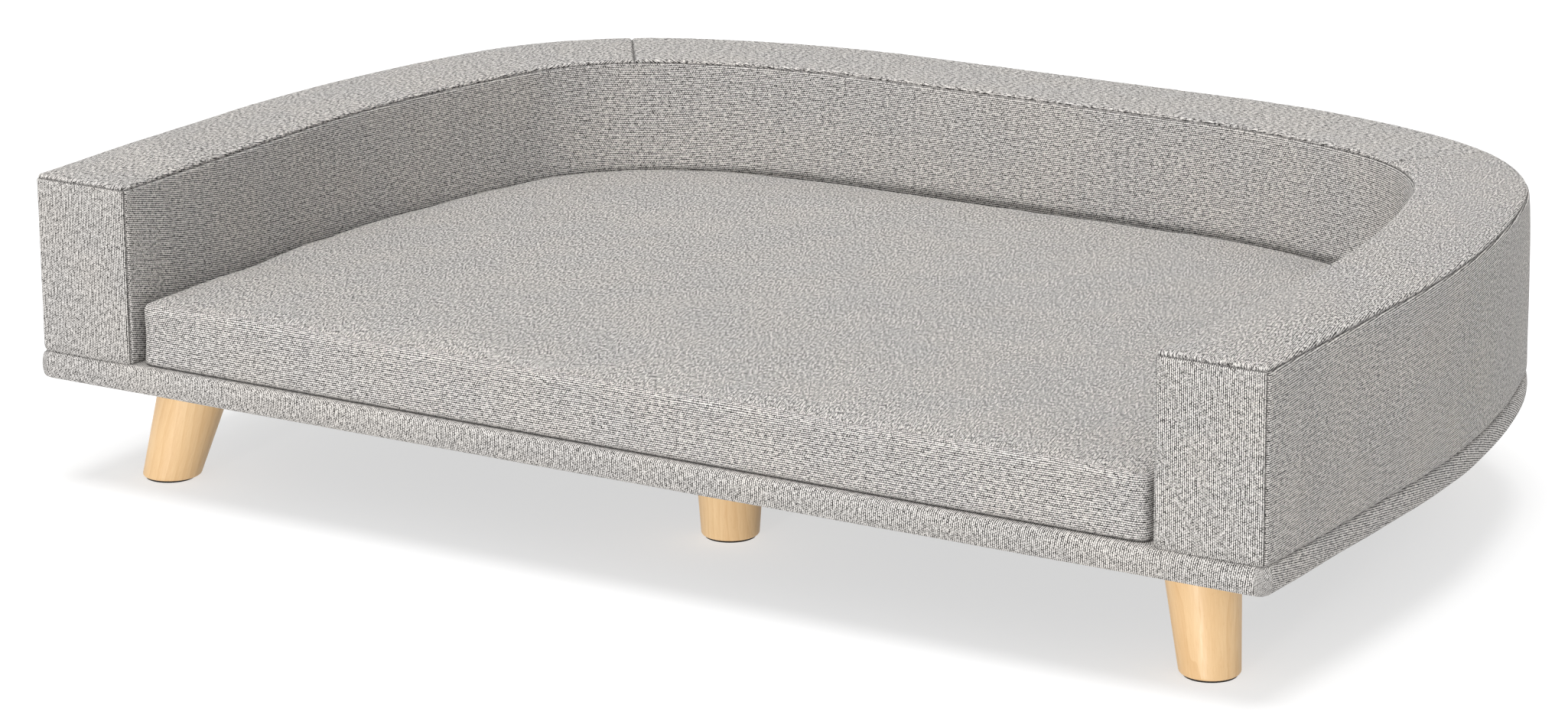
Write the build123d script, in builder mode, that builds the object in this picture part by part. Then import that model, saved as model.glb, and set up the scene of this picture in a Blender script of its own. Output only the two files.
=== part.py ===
from build123d import *
from math import cos, radians, sin, tan
import os

os.makedirs("parts", exist_ok=True)

# Driving dimensions, in millimetres and degrees.
# +X runs along the bed, +Y from its open front to its back, and +Z up from the floor.

# Plan of the bolster: straight sides, three tangent arcs round each rear corner, straight back.
bolster_width = 996.0
bolster_depth = 651.0
shoulder_radius = 510.0
shoulder_turn = 21.5
corner_radius = 221.0
flank_radius = 890.0
flank_turn = 17.5

# Bolster section.
bolster_thickness = 82.0
bolster_height = 131.5
mitre_angle = 35.0
bolster_edge_radius = 4.0
cloth = 1.2
foam_skin = 10.0
foam_top = 14.0
frame_board = 3.0
frame_plate = 9.0
cap_seam_share = 0.5
end_seam_share = 0.18

# Base slab.
ledge = 2.0
base_height = 20.5
base_edge_radius = 4.5
base_corner_radius = 8.0
rim_padding = 6.0
top_padding = 4.0
hem_width = 30.0

# Legs, with their plates and fasteners.
leg_height = 80.0
foot_radius = 20.5
leg_top_radius = 26.0
leg_splay = 16.5
leg_top_chamfer = 1.5
pad_height = 1.5
pad_inset = 2.5
plate_side = 62.0
plate_height = 2.5
plate_corner_radius = 6.0
boss_radius = 15.0
boss_land = 1.6
hanger_radius = 4.0
hanger_depth = 30.0
plate_screw_radius = 2.0
plate_screw_head_radius = 3.8
plate_screw_head_height = 1.6
plate_screw_length = 13.0
plate_screw_edge = 9.0
fit_clearance = 0.05

# Where each foot stands, as distances of its centre from the base's edges and the middle line.
front_foot_side_inset = 70.0
front_foot_front_inset = 60.0
rear_foot_side_inset = 173.0
rear_foot_back_inset = 114.0
middle_foot_front_inset = 150.0
middle_foot_back_inset = 150.0

# Bolts that hold the bolster on the base.
bolt_radius = 3.0
bolt_head_radius = 6.0
bolt_head_height = 3.0
washer_radius = 9.0
washer_height = 1.2
tee_barrel_radius = 4.2
tee_barrel_length = 7.5
tee_flange_radius = 9.5
tee_flange_height = 1.4
arm_front_bolt_setback = 40.0
arm_rear_bolt_setback = 165.0
back_bolt_spacing = 220.0

# Uprights between the two plates of the bolster frame.
upright_width = 32.0
upright_depth_share = 0.94
arm_upright_setback = 56.0
arm_middle_upright_setback = 235.0
back_upright_spacing = 100.0

# Cushion.
cushion_gap = 5.5
cushion_setback = 4.0
cushion_side_height = 45.5
cushion_crown = 6.0
cushion_draw_in = 1.2
cushion_front_corner_radius = 6.5
cushion_edge_radius = 5.5
cushion_seam_share = 0.3
lift_clearance = 0.3

# Zip in the boxing at the cushion's back.
zip_end_margin = 8.0
zip_window_height = 11.0
zip_tape_thickness = 0.6
zip_tooth_pitch = 3.0
zip_tooth_length = 1.5
zip_tooth_height = 4.4
zip_spine_height = 1.4
zip_tooth_proud = 1.2
slider_length = 9.0
slider_wall = 0.8
pull_width = 5.0
pull_length = 17.0
pull_thickness = 0.8
pull_hole_radius = 1.2
pull_round_share = 0.45
zip_tooth_standoff = 0.8
zip_stop_length = 2.4
slider_lip = 0.4
slider_running_clearance = 0.25
rivet_radius = 0.8
rivet_head_radius = 2.0
rivet_head_height = 0.5
overrun = 5.0

# Heights of the main layers above the floor.
base_bottom = leg_height
base_top = base_bottom + base_height
bolster_top = base_top + bolster_height
front_y = -bolster_depth / 2
back_y = bolster_depth / 2
base_front_y = front_y - ledge
base_half_width = bolster_width / 2 + ledge

# The straight back and straight sides are what the arcs leave over.
corner_turn = 90 - shoulder_turn - flank_turn
shoulder_rad = radians(shoulder_turn)
flank_rad = radians(flank_turn)
back_half = (
    bolster_width / 2
    - shoulder_radius * sin(shoulder_rad)
    - corner_radius * (cos(flank_rad) - sin(shoulder_rad))
    - flank_radius * (1 - cos(flank_rad))
)
corner_centre_x = back_half + (shoulder_radius - corner_radius) * sin(shoulder_rad)
corner_centre_y = (
    back_y - shoulder_radius + (shoulder_radius - corner_radius) * cos(shoulder_rad)
)


def plan_face(inset, front, front_corner=0.0):
    """The bed's D outline, moved inwards by inset, closed by a straight front edge."""
    half_width = bolster_width / 2 - inset
    with BuildSketch(mode=Mode.PRIVATE) as plan:
        with BuildLine():
            shoulder = JernArc(
                (back_half, back_y - inset), (1, 0), shoulder_radius - inset, -shoulder_turn
            )
            corner = JernArc(shoulder @ 1, shoulder % 1, corner_radius - inset, -corner_turn)
            flank = JernArc(corner @ 1, corner % 1, flank_radius - inset, -flank_turn)
            Line(flank @ 1, (half_width, front))
            mirror(about=Plane.YZ)
            Line((-half_width, front), (half_width, front))
            Line((-back_half, back_y - inset), (back_half, back_y - inset))
        make_face()
        if front_corner > 0:
            fillet(plan.vertices().group_by(Axis.Y)[0], radius=front_corner)
    return plan.sketch


def plan_point(inset, angle):
    """A point beside the rear corner's arc, at an angle from +Y towards +X."""
    reach = corner_radius - inset
    return (
        corner_centre_x + reach * sin(radians(angle)),
        corner_centre_y + reach * cos(radians(angle)),
    )


def ring_band(outer_inset, inner_inset, front, low, high):
    """An upright U-shaped band between two insets of the outline."""
    with BuildPart(mode=Mode.PRIVATE) as band:
        with BuildSketch(Plane.XY.offset(low)):
            add(plan_face(outer_inset, front))
            add(plan_face(inner_inset, front - overrun), mode=Mode.SUBTRACT)
        extrude(amount=high - low)
    return band.part


def bolster_form(inset):
    """The upholstered bolster's outside, moved inwards, with its rounded upper and end edges."""
    with BuildPart(mode=Mode.PRIVATE) as form:
        add(
            ring_band(
                inset, bolster_thickness - inset, front_y + inset, base_top, bolster_top - inset
            )
        )
        top_edges = form.faces().sort_by(Axis.Z)[-1].edges()
        end_edges = form.edges().filter_by(Axis.Z).group_by(Axis.Y)[0]
        fillet(top_edges + end_edges, radius=bolster_edge_radius - inset)
    return form.part


def base_form(inset):
    """The padded base slab's outside, moved inwards, with its rounded rim."""
    with BuildPart(mode=Mode.PRIVATE) as form:
        with BuildSketch(Plane.XY.offset(base_bottom + inset)):
            add(plan_face(inset - ledge, base_front_y + inset, base_corner_radius - inset))
        extrude(amount=base_height - 2 * inset)
        rims = form.faces().sort_by(Axis.Z)
        fillet(rims[0].edges() + rims[-1].edges(), radius=base_edge_radius - inset)
    return form.part


def cut_above(solid, height):
    """What is left of a solid below a height."""
    with BuildPart(mode=Mode.PRIVATE) as rest:
        add(solid)
        split(bisect_by=Plane.XY.offset(height), keep=Keep.BOTTOM)
    return rest.part


def save(builder, name):
    """Labels a finished piece and writes it as its own file."""
    builder.part.label = name
    export_step(builder.part, f"parts/{name}.step")


# Legs. Each stands on its own foot; the four corner ones lean outwards along their diagonals.
front_foot = (base_half_width - front_foot_side_inset, base_front_y + front_foot_front_inset)
rear_foot = (
    base_half_width - rear_foot_side_inset,
    back_y + ledge - rear_foot_back_inset,
)
leg_spots = [
    ("front_left", -front_foot[0], front_foot[1], (-1, -1), leg_splay),
    ("front_middle", 0, base_front_y + middle_foot_front_inset, (0, 0), 0),
    ("front_right", front_foot[0], front_foot[1], (1, -1), leg_splay),
    ("rear_left", -rear_foot[0], rear_foot[1], (-1, 1), leg_splay),
    ("rear_middle", 0, back_y + ledge - middle_foot_back_inset, (0, 0), 0),
    ("rear_right", rear_foot[0], rear_foot[1], (1, 1), leg_splay),
]
plate_bottom = base_bottom - plate_height
screw_spacing = plate_side - 2 * plate_screw_edge
plate_planes = []
hanger_planes = []
hanger_lengths = []

for name, foot_x, foot_y, lean, splay in leg_spots:
    tilt = radians(splay)
    outward = Vector(*lean, 0)
    if splay > 0:
        outward = outward.normalized()
    else:
        outward = Vector(1, 0, 0)
    rise = plate_bottom * tan(tilt)
    plate_centre = Vector(foot_x, foot_y, plate_bottom) - outward * rise
    down = outward * sin(tilt) - Vector(0, 0, 1) * cos(tilt)
    axis_plane = Plane(
        origin=plate_centre, x_dir=outward * cos(tilt) + Vector(0, 0, 1) * sin(tilt), z_dir=down
    )
    plate_plane = Plane(origin=plate_centre, x_dir=outward, z_dir=(0, 0, 1))
    boss_length = leg_top_radius * tan(tilt) + boss_land
    boss_start = plate_height + boss_radius * tan(tilt)
    wood_length = plate_bottom / cos(tilt) - boss_length
    taper = (leg_top_radius - foot_radius) / wood_length

    # Turned leg: a straight taper, cut flat to the floor over its pad, bored for its bolt.
    with BuildPart() as leg:
        with BuildSketch(axis_plane.offset(boss_length)):
            Circle(leg_top_radius)
        with BuildSketch(axis_plane.offset(boss_length + wood_length + foot_radius)):
            Circle(foot_radius - taper * foot_radius)
        loft()
        split(bisect_by=Plane.XY.offset(pad_height), keep=Keep.TOP)
        chamfer(leg.edges().sort_by(Axis.Z)[-1], length=leg_top_chamfer)
        with BuildSketch(axis_plane.offset(boss_length)):
            Circle(hanger_radius + fit_clearance)
        extrude(amount=hanger_depth, mode=Mode.SUBTRACT)
    save(leg, f"{name}_leg")

    # Mounting plate: pressed steel, with a boss whose lower face is square to the leg.
    with BuildPart() as leg_plate:
        with BuildSketch(plate_plane):
            RectangleRounded(plate_side, plate_side, plate_corner_radius)
        extrude(amount=plate_height)
        with BuildSketch(axis_plane.offset(-boss_start)):
            Circle(boss_radius)
        extrude(amount=boss_start + boss_length)
        split(bisect_by=Plane.XY.offset(base_bottom), keep=Keep.BOTTOM)
        with BuildSketch(axis_plane.offset(boss_length)):
            Circle(hanger_radius + fit_clearance)
        extrude(amount=-boss_length - boss_start, mode=Mode.SUBTRACT)
        with BuildSketch(plate_plane):
            with GridLocations(screw_spacing, screw_spacing, 2, 2):
                Circle(plate_screw_radius + fit_clearance)
        extrude(amount=plate_height, mode=Mode.SUBTRACT)
    save(leg_plate, f"{name}_leg_plate")

    plate_planes.append(plate_plane)
    hanger_planes.append(axis_plane)
    hanger_lengths.append(boss_length)

# Hanger bolts: one end screwed into the leg, the other into the plate's boss.
with BuildPart() as hanger_bolts:
    for axis_plane, boss_length in zip(hanger_planes, hanger_lengths):
        with BuildSketch(axis_plane):
            Circle(hanger_radius)
        extrude(amount=boss_length + hanger_depth)
save(hanger_bolts, "hanger_bolts")

# Wood screws of the plates: pan heads under the plate, shanks up into the base panel.
with BuildPart() as leg_plate_screws:
    with BuildSketch(*plate_planes):
        with GridLocations(screw_spacing, screw_spacing, 2, 2):
            Circle(plate_screw_radius)
    extrude(amount=plate_screw_length)
    with BuildSketch(*plate_planes):
        with GridLocations(screw_spacing, screw_spacing, 2, 2):
            Circle(plate_screw_head_radius)
    extrude(amount=-plate_screw_head_height)
save(leg_plate_screws, "leg_plate_screws")

# Foot pads: thin discs, a little smaller than the feet they protect.
with BuildPart() as foot_pads:
    for name, foot_x, foot_y, lean, splay in leg_spots:
        with BuildSketch():
            with Locations((foot_x, foot_y)):
                Circle(foot_radius - pad_inset)
    extrude(amount=pad_height)
save(foot_pads, "foot_pads")

# Where the bolster's bolts stand, all on the middle of its thickness.
bolt_inset = bolster_thickness / 2
arm_bolt_x = bolster_width / 2 - bolt_inset
corner_bolt = plan_point(bolt_inset, shoulder_turn + corner_turn / 2)
bolt_half = [
    (arm_bolt_x, front_y + arm_front_bolt_setback),
    (arm_bolt_x, front_y + arm_rear_bolt_setback),
    corner_bolt,
    (back_bolt_spacing / 2, back_y - bolt_inset),
]
bolt_spots = bolt_half + [(-x, y) for x, y in bolt_half]

# Base panel: plywood, with clearance holes for the bolster's bolts and pilot holes for screws.
panel_inset = cloth + rim_padding - ledge
panel_bottom = base_bottom + cloth
panel_top = base_top - cloth - top_padding
with BuildPart() as base_panel:
    with BuildSketch(Plane.XY.offset(panel_bottom)):
        add(
            plan_face(
                panel_inset, base_front_y + cloth + rim_padding, base_corner_radius
            )
        )
    extrude(amount=panel_top - panel_bottom)
    with BuildSketch(Plane.XY.offset(panel_bottom)):
        with Locations(*bolt_spots):
            Circle(bolt_radius + fit_clearance)
    extrude(amount=panel_top - panel_bottom, mode=Mode.SUBTRACT)
    with BuildSketch(*plate_planes):
        with GridLocations(screw_spacing, screw_spacing, 2, 2):
            Circle(plate_screw_radius + fit_clearance)
    extrude(amount=plate_screw_length, mode=Mode.SUBTRACT)
save(base_panel, "base_panel")

# Padding: a thin foam sheet over the panel's top and down round its rim.
with BuildPart() as base_padding:
    add(base_form(cloth))
    with BuildSketch(Plane.XY.offset(panel_bottom)):
        add(
            plan_face(
                panel_inset, base_front_y + cloth + rim_padding, base_corner_radius
            )
        )
    extrude(amount=panel_top - panel_bottom, mode=Mode.SUBTRACT)
    with BuildSketch(Plane.XY.offset(panel_top)):
        with Locations(*bolt_spots):
            Circle(bolt_radius + fit_clearance)
    extrude(amount=base_height, mode=Mode.SUBTRACT)
save(base_padding, "base_padding")

# Woven cover of the base, turned under the rim as a hem that ends where the dust cover starts.
with BuildPart() as base_cover:
    add(base_form(0))
    add(base_form(cloth), mode=Mode.SUBTRACT)
    with BuildSketch(Plane.XY.offset(base_bottom)):
        add(plan_face(hem_width - ledge, base_front_y + hem_width, base_corner_radius))
    extrude(amount=cloth, mode=Mode.SUBTRACT)
    with BuildSketch(Plane.XY.offset(panel_top)):
        with Locations(*bolt_spots):
            Circle(bolt_radius + fit_clearance)
    extrude(amount=base_height, mode=Mode.SUBTRACT)
save(base_cover, "base_cover")

# Dust cover: a black sheet closing the underside inside the hem.
with BuildPart() as dust_cover:
    with BuildSketch(Plane.XY.offset(base_bottom)):
        add(plan_face(hem_width - ledge, base_front_y + hem_width, base_corner_radius))
        with Locations(*bolt_spots):
            Circle(bolt_radius + fit_clearance, mode=Mode.SUBTRACT)
    extrude(amount=cloth)
    with BuildSketch(*plate_planes):
        with GridLocations(screw_spacing, screw_spacing, 2, 2):
            Circle(plate_screw_radius + fit_clearance)
    extrude(amount=plate_height + cloth, mode=Mode.SUBTRACT)
save(dust_cover, "dust_cover")

# Bolster frame: a plate at the bottom and one at the top, boards bent round both, and
# uprights between. Its depths into the bolster follow from the cloth, the foam and the boards.
board_inset = cloth + foam_skin
plate_inset = board_inset + frame_board
frame_top = bolster_top - cloth - foam_top
board_front = front_y + board_inset
plate_front = front_y + plate_inset
frame_width = bolster_thickness - 2 * plate_inset
upper_plate_bottom = frame_top - frame_plate
lower_plate_top = base_top + frame_plate

with BuildPart() as bolster_bottom_plate:
    add(
        ring_band(
            plate_inset, bolster_thickness - plate_inset, plate_front, base_top, lower_plate_top
        )
    )
    with BuildSketch(Plane.XY.offset(base_top)):
        with Locations(*bolt_spots):
            Circle(tee_barrel_radius + fit_clearance)
    extrude(amount=frame_plate, mode=Mode.SUBTRACT)
save(bolster_bottom_plate, "bolster_bottom_plate")

with BuildPart() as bolster_top_plate:
    add(
        ring_band(
            plate_inset, bolster_thickness - plate_inset, plate_front, upper_plate_bottom, frame_top
        )
    )
save(bolster_top_plate, "bolster_top_plate")

with BuildPart() as bolster_outer_board:
    add(ring_band(board_inset, plate_inset, plate_front, base_top, frame_top))
save(bolster_outer_board, "bolster_outer_board")

with BuildPart() as bolster_inner_board:
    add(
        ring_band(
            bolster_thickness - plate_inset,
            bolster_thickness - board_inset,
            plate_front,
            base_top,
            frame_top,
        )
    )
save(bolster_inner_board, "bolster_inner_board")

with BuildPart() as bolster_end_boards:
    with BuildSketch(Plane.XY.offset(base_top)):
        with Locations((arm_bolt_x, board_front), (-arm_bolt_x, board_front)):
            Rectangle(frame_width + 2 * frame_board, frame_board, align=(Align.CENTER, Align.MIN))
    extrude(amount=frame_top - base_top)
save(bolster_end_boards, "bolster_end_boards")

# Uprights: short posts, turned to face the way the bolster runs where they stand.
shoulder_upright = plan_point(bolt_inset, shoulder_turn)
flank_upright = plan_point(bolt_inset, shoulder_turn + corner_turn)
upright_spots = [
    (arm_bolt_x, front_y + arm_upright_setback + upright_width / 2, 90),
    (arm_bolt_x, front_y + arm_middle_upright_setback, 90),
    (*flank_upright, -shoulder_turn - corner_turn),
    (*shoulder_upright, -shoulder_turn),
    (back_upright_spacing / 2, back_y - bolt_inset, 0),
]
upright_spots = upright_spots + [(-x, y, -turn) for x, y, turn in upright_spots]
with BuildPart() as bolster_uprights:
    for x, y, turn in upright_spots:
        with BuildSketch(Plane.XY.offset(lower_plate_top)):
            with Locations(Location((x, y, 0), (0, 0, turn))):
                Rectangle(upright_width, frame_width * upright_depth_share)
    extrude(amount=upper_plate_bottom - lower_plate_top)
save(bolster_uprights, "bolster_uprights")

# Foam wrapped over the frame: its outside is the cover's inside, its hollow is the frame.
with BuildPart() as bolster_foam:
    add(bolster_form(cloth))
    add(
        ring_band(
            board_inset, bolster_thickness - board_inset, board_front, base_top, frame_top
        ),
        mode=Mode.SUBTRACT,
    )
save(bolster_foam, "bolster_foam")

# Bolts, washers and tee nuts that draw the bolster down on the base.
bolt_head_top = base_bottom - washer_height
tee_flange_bottom = lower_plate_top
bolt_end = tee_flange_bottom + tee_flange_height
with BuildPart() as bolster_bolts:
    with BuildSketch(Plane.XY.offset(bolt_head_top)):
        with Locations(*bolt_spots):
            Circle(bolt_radius)
    extrude(amount=bolt_end - bolt_head_top)
    with BuildSketch(Plane.XY.offset(bolt_head_top)):
        with Locations(*bolt_spots):
            Circle(bolt_head_radius)
    extrude(amount=-bolt_head_height)
save(bolster_bolts, "bolster_bolts")

with BuildPart() as bolster_washers:
    with BuildSketch(Plane.XY.offset(bolt_head_top)):
        with Locations(*bolt_spots):
            Circle(washer_radius)
            Circle(bolt_radius + fit_clearance, mode=Mode.SUBTRACT)
    extrude(amount=washer_height)
save(bolster_washers, "bolster_washers")

with BuildPart() as bolster_tee_nuts:
    with BuildSketch(Plane.XY.offset(lower_plate_top)):
        with Locations(*bolt_spots):
            Circle(tee_flange_radius)
    extrude(amount=tee_flange_height)
    with BuildSketch(Plane.XY.offset(lower_plate_top)):
        with Locations(*bolt_spots):
            Circle(tee_barrel_radius)
    extrude(amount=-tee_barrel_length)
    with BuildSketch(Plane.XY.offset(bolt_end)):
        with Locations(*bolt_spots):
            Circle(bolt_radius + fit_clearance)
    extrude(amount=-tee_barrel_length - tee_flange_height, mode=Mode.SUBTRACT)
save(bolster_tee_nuts, "bolster_tee_nuts")

# Sewn cover of the bolster, one closed skin parted along its seams: the top cap in three
# lengths with mitres at the rear corners, the two end covers, the outer and the inner wall.
seam_height = bolster_top - bolster_edge_radius * cap_seam_share
end_seam_y = front_y + bolster_edge_radius * end_seam_share
with BuildPart() as bolster_skin:
    add(bolster_form(0))
    add(bolster_form(cloth), mode=Mode.SUBTRACT)
with BuildPart() as cap_skin:
    add(bolster_skin.part)
    split(bisect_by=Plane.XY.offset(seam_height), keep=Keep.TOP)
right_mitre = Plane(
    origin=(corner_centre_x, corner_centre_y, 0),
    x_dir=(sin(radians(mitre_angle)), cos(radians(mitre_angle)), 0),
    z_dir=(cos(radians(mitre_angle)), -sin(radians(mitre_angle)), 0),
)
left_mitre = Plane(
    origin=(-corner_centre_x, corner_centre_y, 0),
    x_dir=(-sin(radians(mitre_angle)), cos(radians(mitre_angle)), 0),
    z_dir=(-cos(radians(mitre_angle)), -sin(radians(mitre_angle)), 0),
)
with BuildPart() as right_cap_cover:
    add(cap_skin.part)
    split(bisect_by=right_mitre, keep=Keep.TOP)
    split(bisect_by=Plane.YZ, keep=Keep.TOP)
save(right_cap_cover, "right_cap_cover")
with BuildPart() as left_cap_cover:
    add(cap_skin.part)
    split(bisect_by=left_mitre, keep=Keep.TOP)
    split(bisect_by=Plane.YZ, keep=Keep.BOTTOM)
save(left_cap_cover, "left_cap_cover")
with BuildPart() as back_cap_cover:
    add(cap_skin.part)
    split(bisect_by=right_mitre, keep=Keep.BOTTOM)
    split(bisect_by=left_mitre, keep=Keep.BOTTOM)
save(back_cap_cover, "back_cap_cover")

with BuildPart() as wall_skin:
    add(cut_above(bolster_skin.part, seam_height))
with BuildPart() as end_skin:
    add(wall_skin.part)
    split(bisect_by=Plane.XZ.offset(-end_seam_y), keep=Keep.TOP)
with BuildPart() as right_end_cover:
    add(end_skin.part)
    split(bisect_by=Plane.YZ, keep=Keep.TOP)
save(right_end_cover, "right_end_cover")
with BuildPart() as left_end_cover:
    add(end_skin.part)
    split(bisect_by=Plane.YZ, keep=Keep.BOTTOM)
save(left_end_cover, "left_end_cover")

with BuildPart() as side_skin:
    add(wall_skin.part)
    split(bisect_by=Plane.XZ.offset(-end_seam_y), keep=Keep.BOTTOM)
with BuildPart() as bolster_outer_cover:
    add(side_skin.part)
    with BuildSketch(Plane.XY.offset(base_top)):
        add(plan_face(bolt_inset, front_y - overrun))
    extrude(amount=bolster_height, mode=Mode.SUBTRACT)
save(bolster_outer_cover, "bolster_outer_cover")
with BuildPart() as bolster_inner_cover:
    add(side_skin.part)
    with BuildSketch(Plane.XY.offset(base_top)):
        add(plan_face(bolt_inset, front_y - overrun))
    extrude(amount=bolster_height, mode=Mode.INTERSECT)
save(bolster_inner_cover, "bolster_inner_cover")

# Cushion: a D-shaped pad with upright sides drawn in a little at mid-height, soft edges, and a
# top that rises gently to a crown. Shares: height and inset by the edge radius, then the
# crown's rise and the size of the outline there.
bottom_edge_shares = [(0, 0.25), (0.25, 0)]
top_edge_shares = [(0, 0), (0.71, 0.29)]
crown_shares = [(0.0, 1.0), (0.45, 0.88), (0.85, 0.6), (1.0, 0.25)]
cushion_floor = base_top + lift_clearance
cushion_shoulder = cushion_floor + cushion_side_height
cushion_inset = bolster_thickness + cushion_gap
cushion_front_y = front_y + cushion_setback
cushion_back_y = back_y - cushion_inset
cushion_centre_y = (cushion_front_y + cushion_back_y) / 2


def cushion_form(inset):
    """The cushion's outside, moved inwards by inset."""
    edge = cushion_edge_radius - inset
    low = cushion_floor + inset
    high = cushion_shoulder - inset
    rings = [(low + rise * edge, edge_in * edge) for rise, edge_in in bottom_edge_shares]
    rings.append(((low + high) / 2, cushion_draw_in))
    rings += [(high - edge + rise * edge, edge_in * edge) for rise, edge_in in top_edge_shares]
    with BuildPart(mode=Mode.PRIVATE) as form:
        for height, ring_in in rings:
            with BuildSketch(Plane.XY.offset(height)):
                add(
                    plan_face(
                        cushion_inset + inset + ring_in,
                        cushion_front_y + inset + ring_in,
                        cushion_front_corner_radius - inset - ring_in,
                    )
                )
        for rise, size in crown_shares:
            with BuildSketch(Plane.XY.offset(high + rise * cushion_crown)):
                with Locations((0, cushion_centre_y * (1 - size))):
                    add(
                        scale(
                            plan_face(
                                cushion_inset + inset + edge,
                                cushion_front_y + inset + edge,
                                cushion_front_corner_radius - inset - edge,
                            ),
                            by=size,
                            mode=Mode.PRIVATE,
                        )
                    )
        loft(ruled=True)
    return form.part


# Zip: it closes the straight stretch of the boxing at the back, half-way up.
zip_height = cushion_floor + cushion_side_height / 2
zip_half = back_half - zip_end_margin
zip_face_y = cushion_back_y - cushion_draw_in
tooth_back_y = zip_face_y + zip_tooth_standoff
tooth_front_y = tooth_back_y + zip_tooth_proud
zip_window = Plane(origin=(0, zip_face_y, zip_height), x_dir=(1, 0, 0), z_dir=(0, -1, 0))

with BuildPart() as cushion_core:
    add(cushion_form(cloth))
save(cushion_core, "cushion_core")

with BuildPart() as cushion_skin:
    add(cushion_form(0))
    add(cushion_form(cloth), mode=Mode.SUBTRACT)
top_seam = cushion_shoulder - cushion_edge_radius * cushion_seam_share
bottom_seam = cushion_floor + cushion_edge_radius * cushion_seam_share
with BuildPart() as cushion_top_cover:
    add(cushion_skin.part)
    split(bisect_by=Plane.XY.offset(top_seam), keep=Keep.TOP)
save(cushion_top_cover, "cushion_top_cover")
with BuildPart() as cushion_bottom_cover:
    add(cut_above(cushion_skin.part, bottom_seam))
save(cushion_bottom_cover, "cushion_bottom_cover")
with BuildPart() as cushion_boxing:
    add(cut_above(cushion_skin.part, top_seam))
    split(bisect_by=Plane.XY.offset(bottom_seam), keep=Keep.TOP)
    with BuildSketch(zip_window.offset(-overrun)):
        Rectangle(2 * zip_half, zip_window_height)
    extrude(amount=2 * overrun, mode=Mode.SUBTRACT)
save(cushion_boxing, "cushion_boxing")

# Tape: fills the window in the boxing; its cord stands out along the middle to carry the teeth.
with BuildPart() as zip_tape:
    with BuildSketch(zip_window):
        Rectangle(2 * zip_half, zip_window_height)
    extrude(amount=zip_tape_thickness)
    with BuildSketch(zip_window):
        Rectangle(2 * zip_half, zip_spine_height)
    extrude(amount=-zip_tooth_standoff)
save(zip_tape, "zip_tape")

# Teeth: moulded one by one on the cord, all alike, between a stop at each end.
tooth_run = 2 * (zip_half - zip_stop_length)
tooth_count = int(tooth_run / zip_tooth_pitch)
with BuildPart() as zip_teeth:
    with BuildSketch(Plane.XZ.offset(-tooth_back_y)):
        with Locations((0, zip_height)):
            with GridLocations(zip_tooth_pitch, zip_tooth_height, tooth_count, 1):
                Rectangle(zip_tooth_length, zip_tooth_height)
    extrude(amount=-zip_tooth_proud)
save(zip_teeth, "zip_teeth")

with BuildPart() as zip_stops:
    with BuildSketch(Plane.XZ.offset(-tooth_back_y)):
        with Locations((0, zip_height)):
            with GridLocations(2 * zip_half - zip_stop_length, zip_tooth_height, 2, 1):
                Rectangle(zip_stop_length, zip_tooth_height)
    extrude(amount=-zip_tooth_proud)
save(zip_stops, "zip_stops")

# Slider: a C-shaped runner round the teeth, whose lips hold it behind them, with a rivet.
slider_x = zip_half - zip_stop_length - slider_running_clearance - slider_length / 2
slider_inside = zip_tooth_height + 2 * slider_running_clearance
slider_outside = slider_inside + 2 * slider_wall
lip_back_y = tooth_back_y - slider_running_clearance - slider_lip
channel_front_y = tooth_front_y + slider_running_clearance
slider_front_y = channel_front_y + slider_wall
lip_gap = zip_spine_height + 2 * slider_running_clearance
runner_end = Plane(origin=(slider_x - slider_length / 2, 0, 0), x_dir=(0, 1, 0), z_dir=(1, 0, 0))
with BuildPart() as zip_slider:
    with BuildSketch(runner_end):
        with Locations(((lip_back_y + slider_front_y) / 2, zip_height)):
            Rectangle(slider_front_y - lip_back_y, slider_outside)
        with Locations((lip_back_y + slider_lip, zip_height)):
            Rectangle(
                channel_front_y - lip_back_y - slider_lip,
                slider_inside,
                align=(Align.MIN, Align.CENTER),
                mode=Mode.SUBTRACT,
            )
        with Locations((lip_back_y, zip_height)):
            Rectangle(slider_lip, lip_gap, align=(Align.MIN, Align.CENTER), mode=Mode.SUBTRACT)
    extrude(amount=slider_length)
    pull_front_y = slider_front_y + 2 * slider_running_clearance + pull_thickness
    with BuildSketch(Plane.XZ.offset(-slider_front_y)):
        with Locations((slider_x, zip_height)):
            Circle(rivet_radius)
    extrude(amount=slider_front_y - pull_front_y)
    with BuildSketch(Plane.XZ.offset(-pull_front_y)):
        with Locations((slider_x, zip_height)):
            Circle(rivet_head_radius)
    extrude(amount=-rivet_head_height)
save(zip_slider, "zip_slider")

# Pull: a flat tab that hangs from the rivet.
with BuildPart() as zip_pull:
    with BuildSketch(Plane.XZ.offset(-slider_front_y - slider_running_clearance)):
        with Locations((slider_x, zip_height + pull_width / 2 - pull_length / 2)):
            RectangleRounded(pull_width, pull_length, pull_width * pull_round_share)
        with Locations((slider_x, zip_height)):
            Circle(pull_hole_radius, mode=Mode.SUBTRACT)
    extrude(amount=-pull_thickness)
save(zip_pull, "zip_pull")
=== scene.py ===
from math import cos, pi, radians, sin, tan

import bmesh
import bpy
import numpy as np
from mathutils import Matrix, Vector


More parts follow.
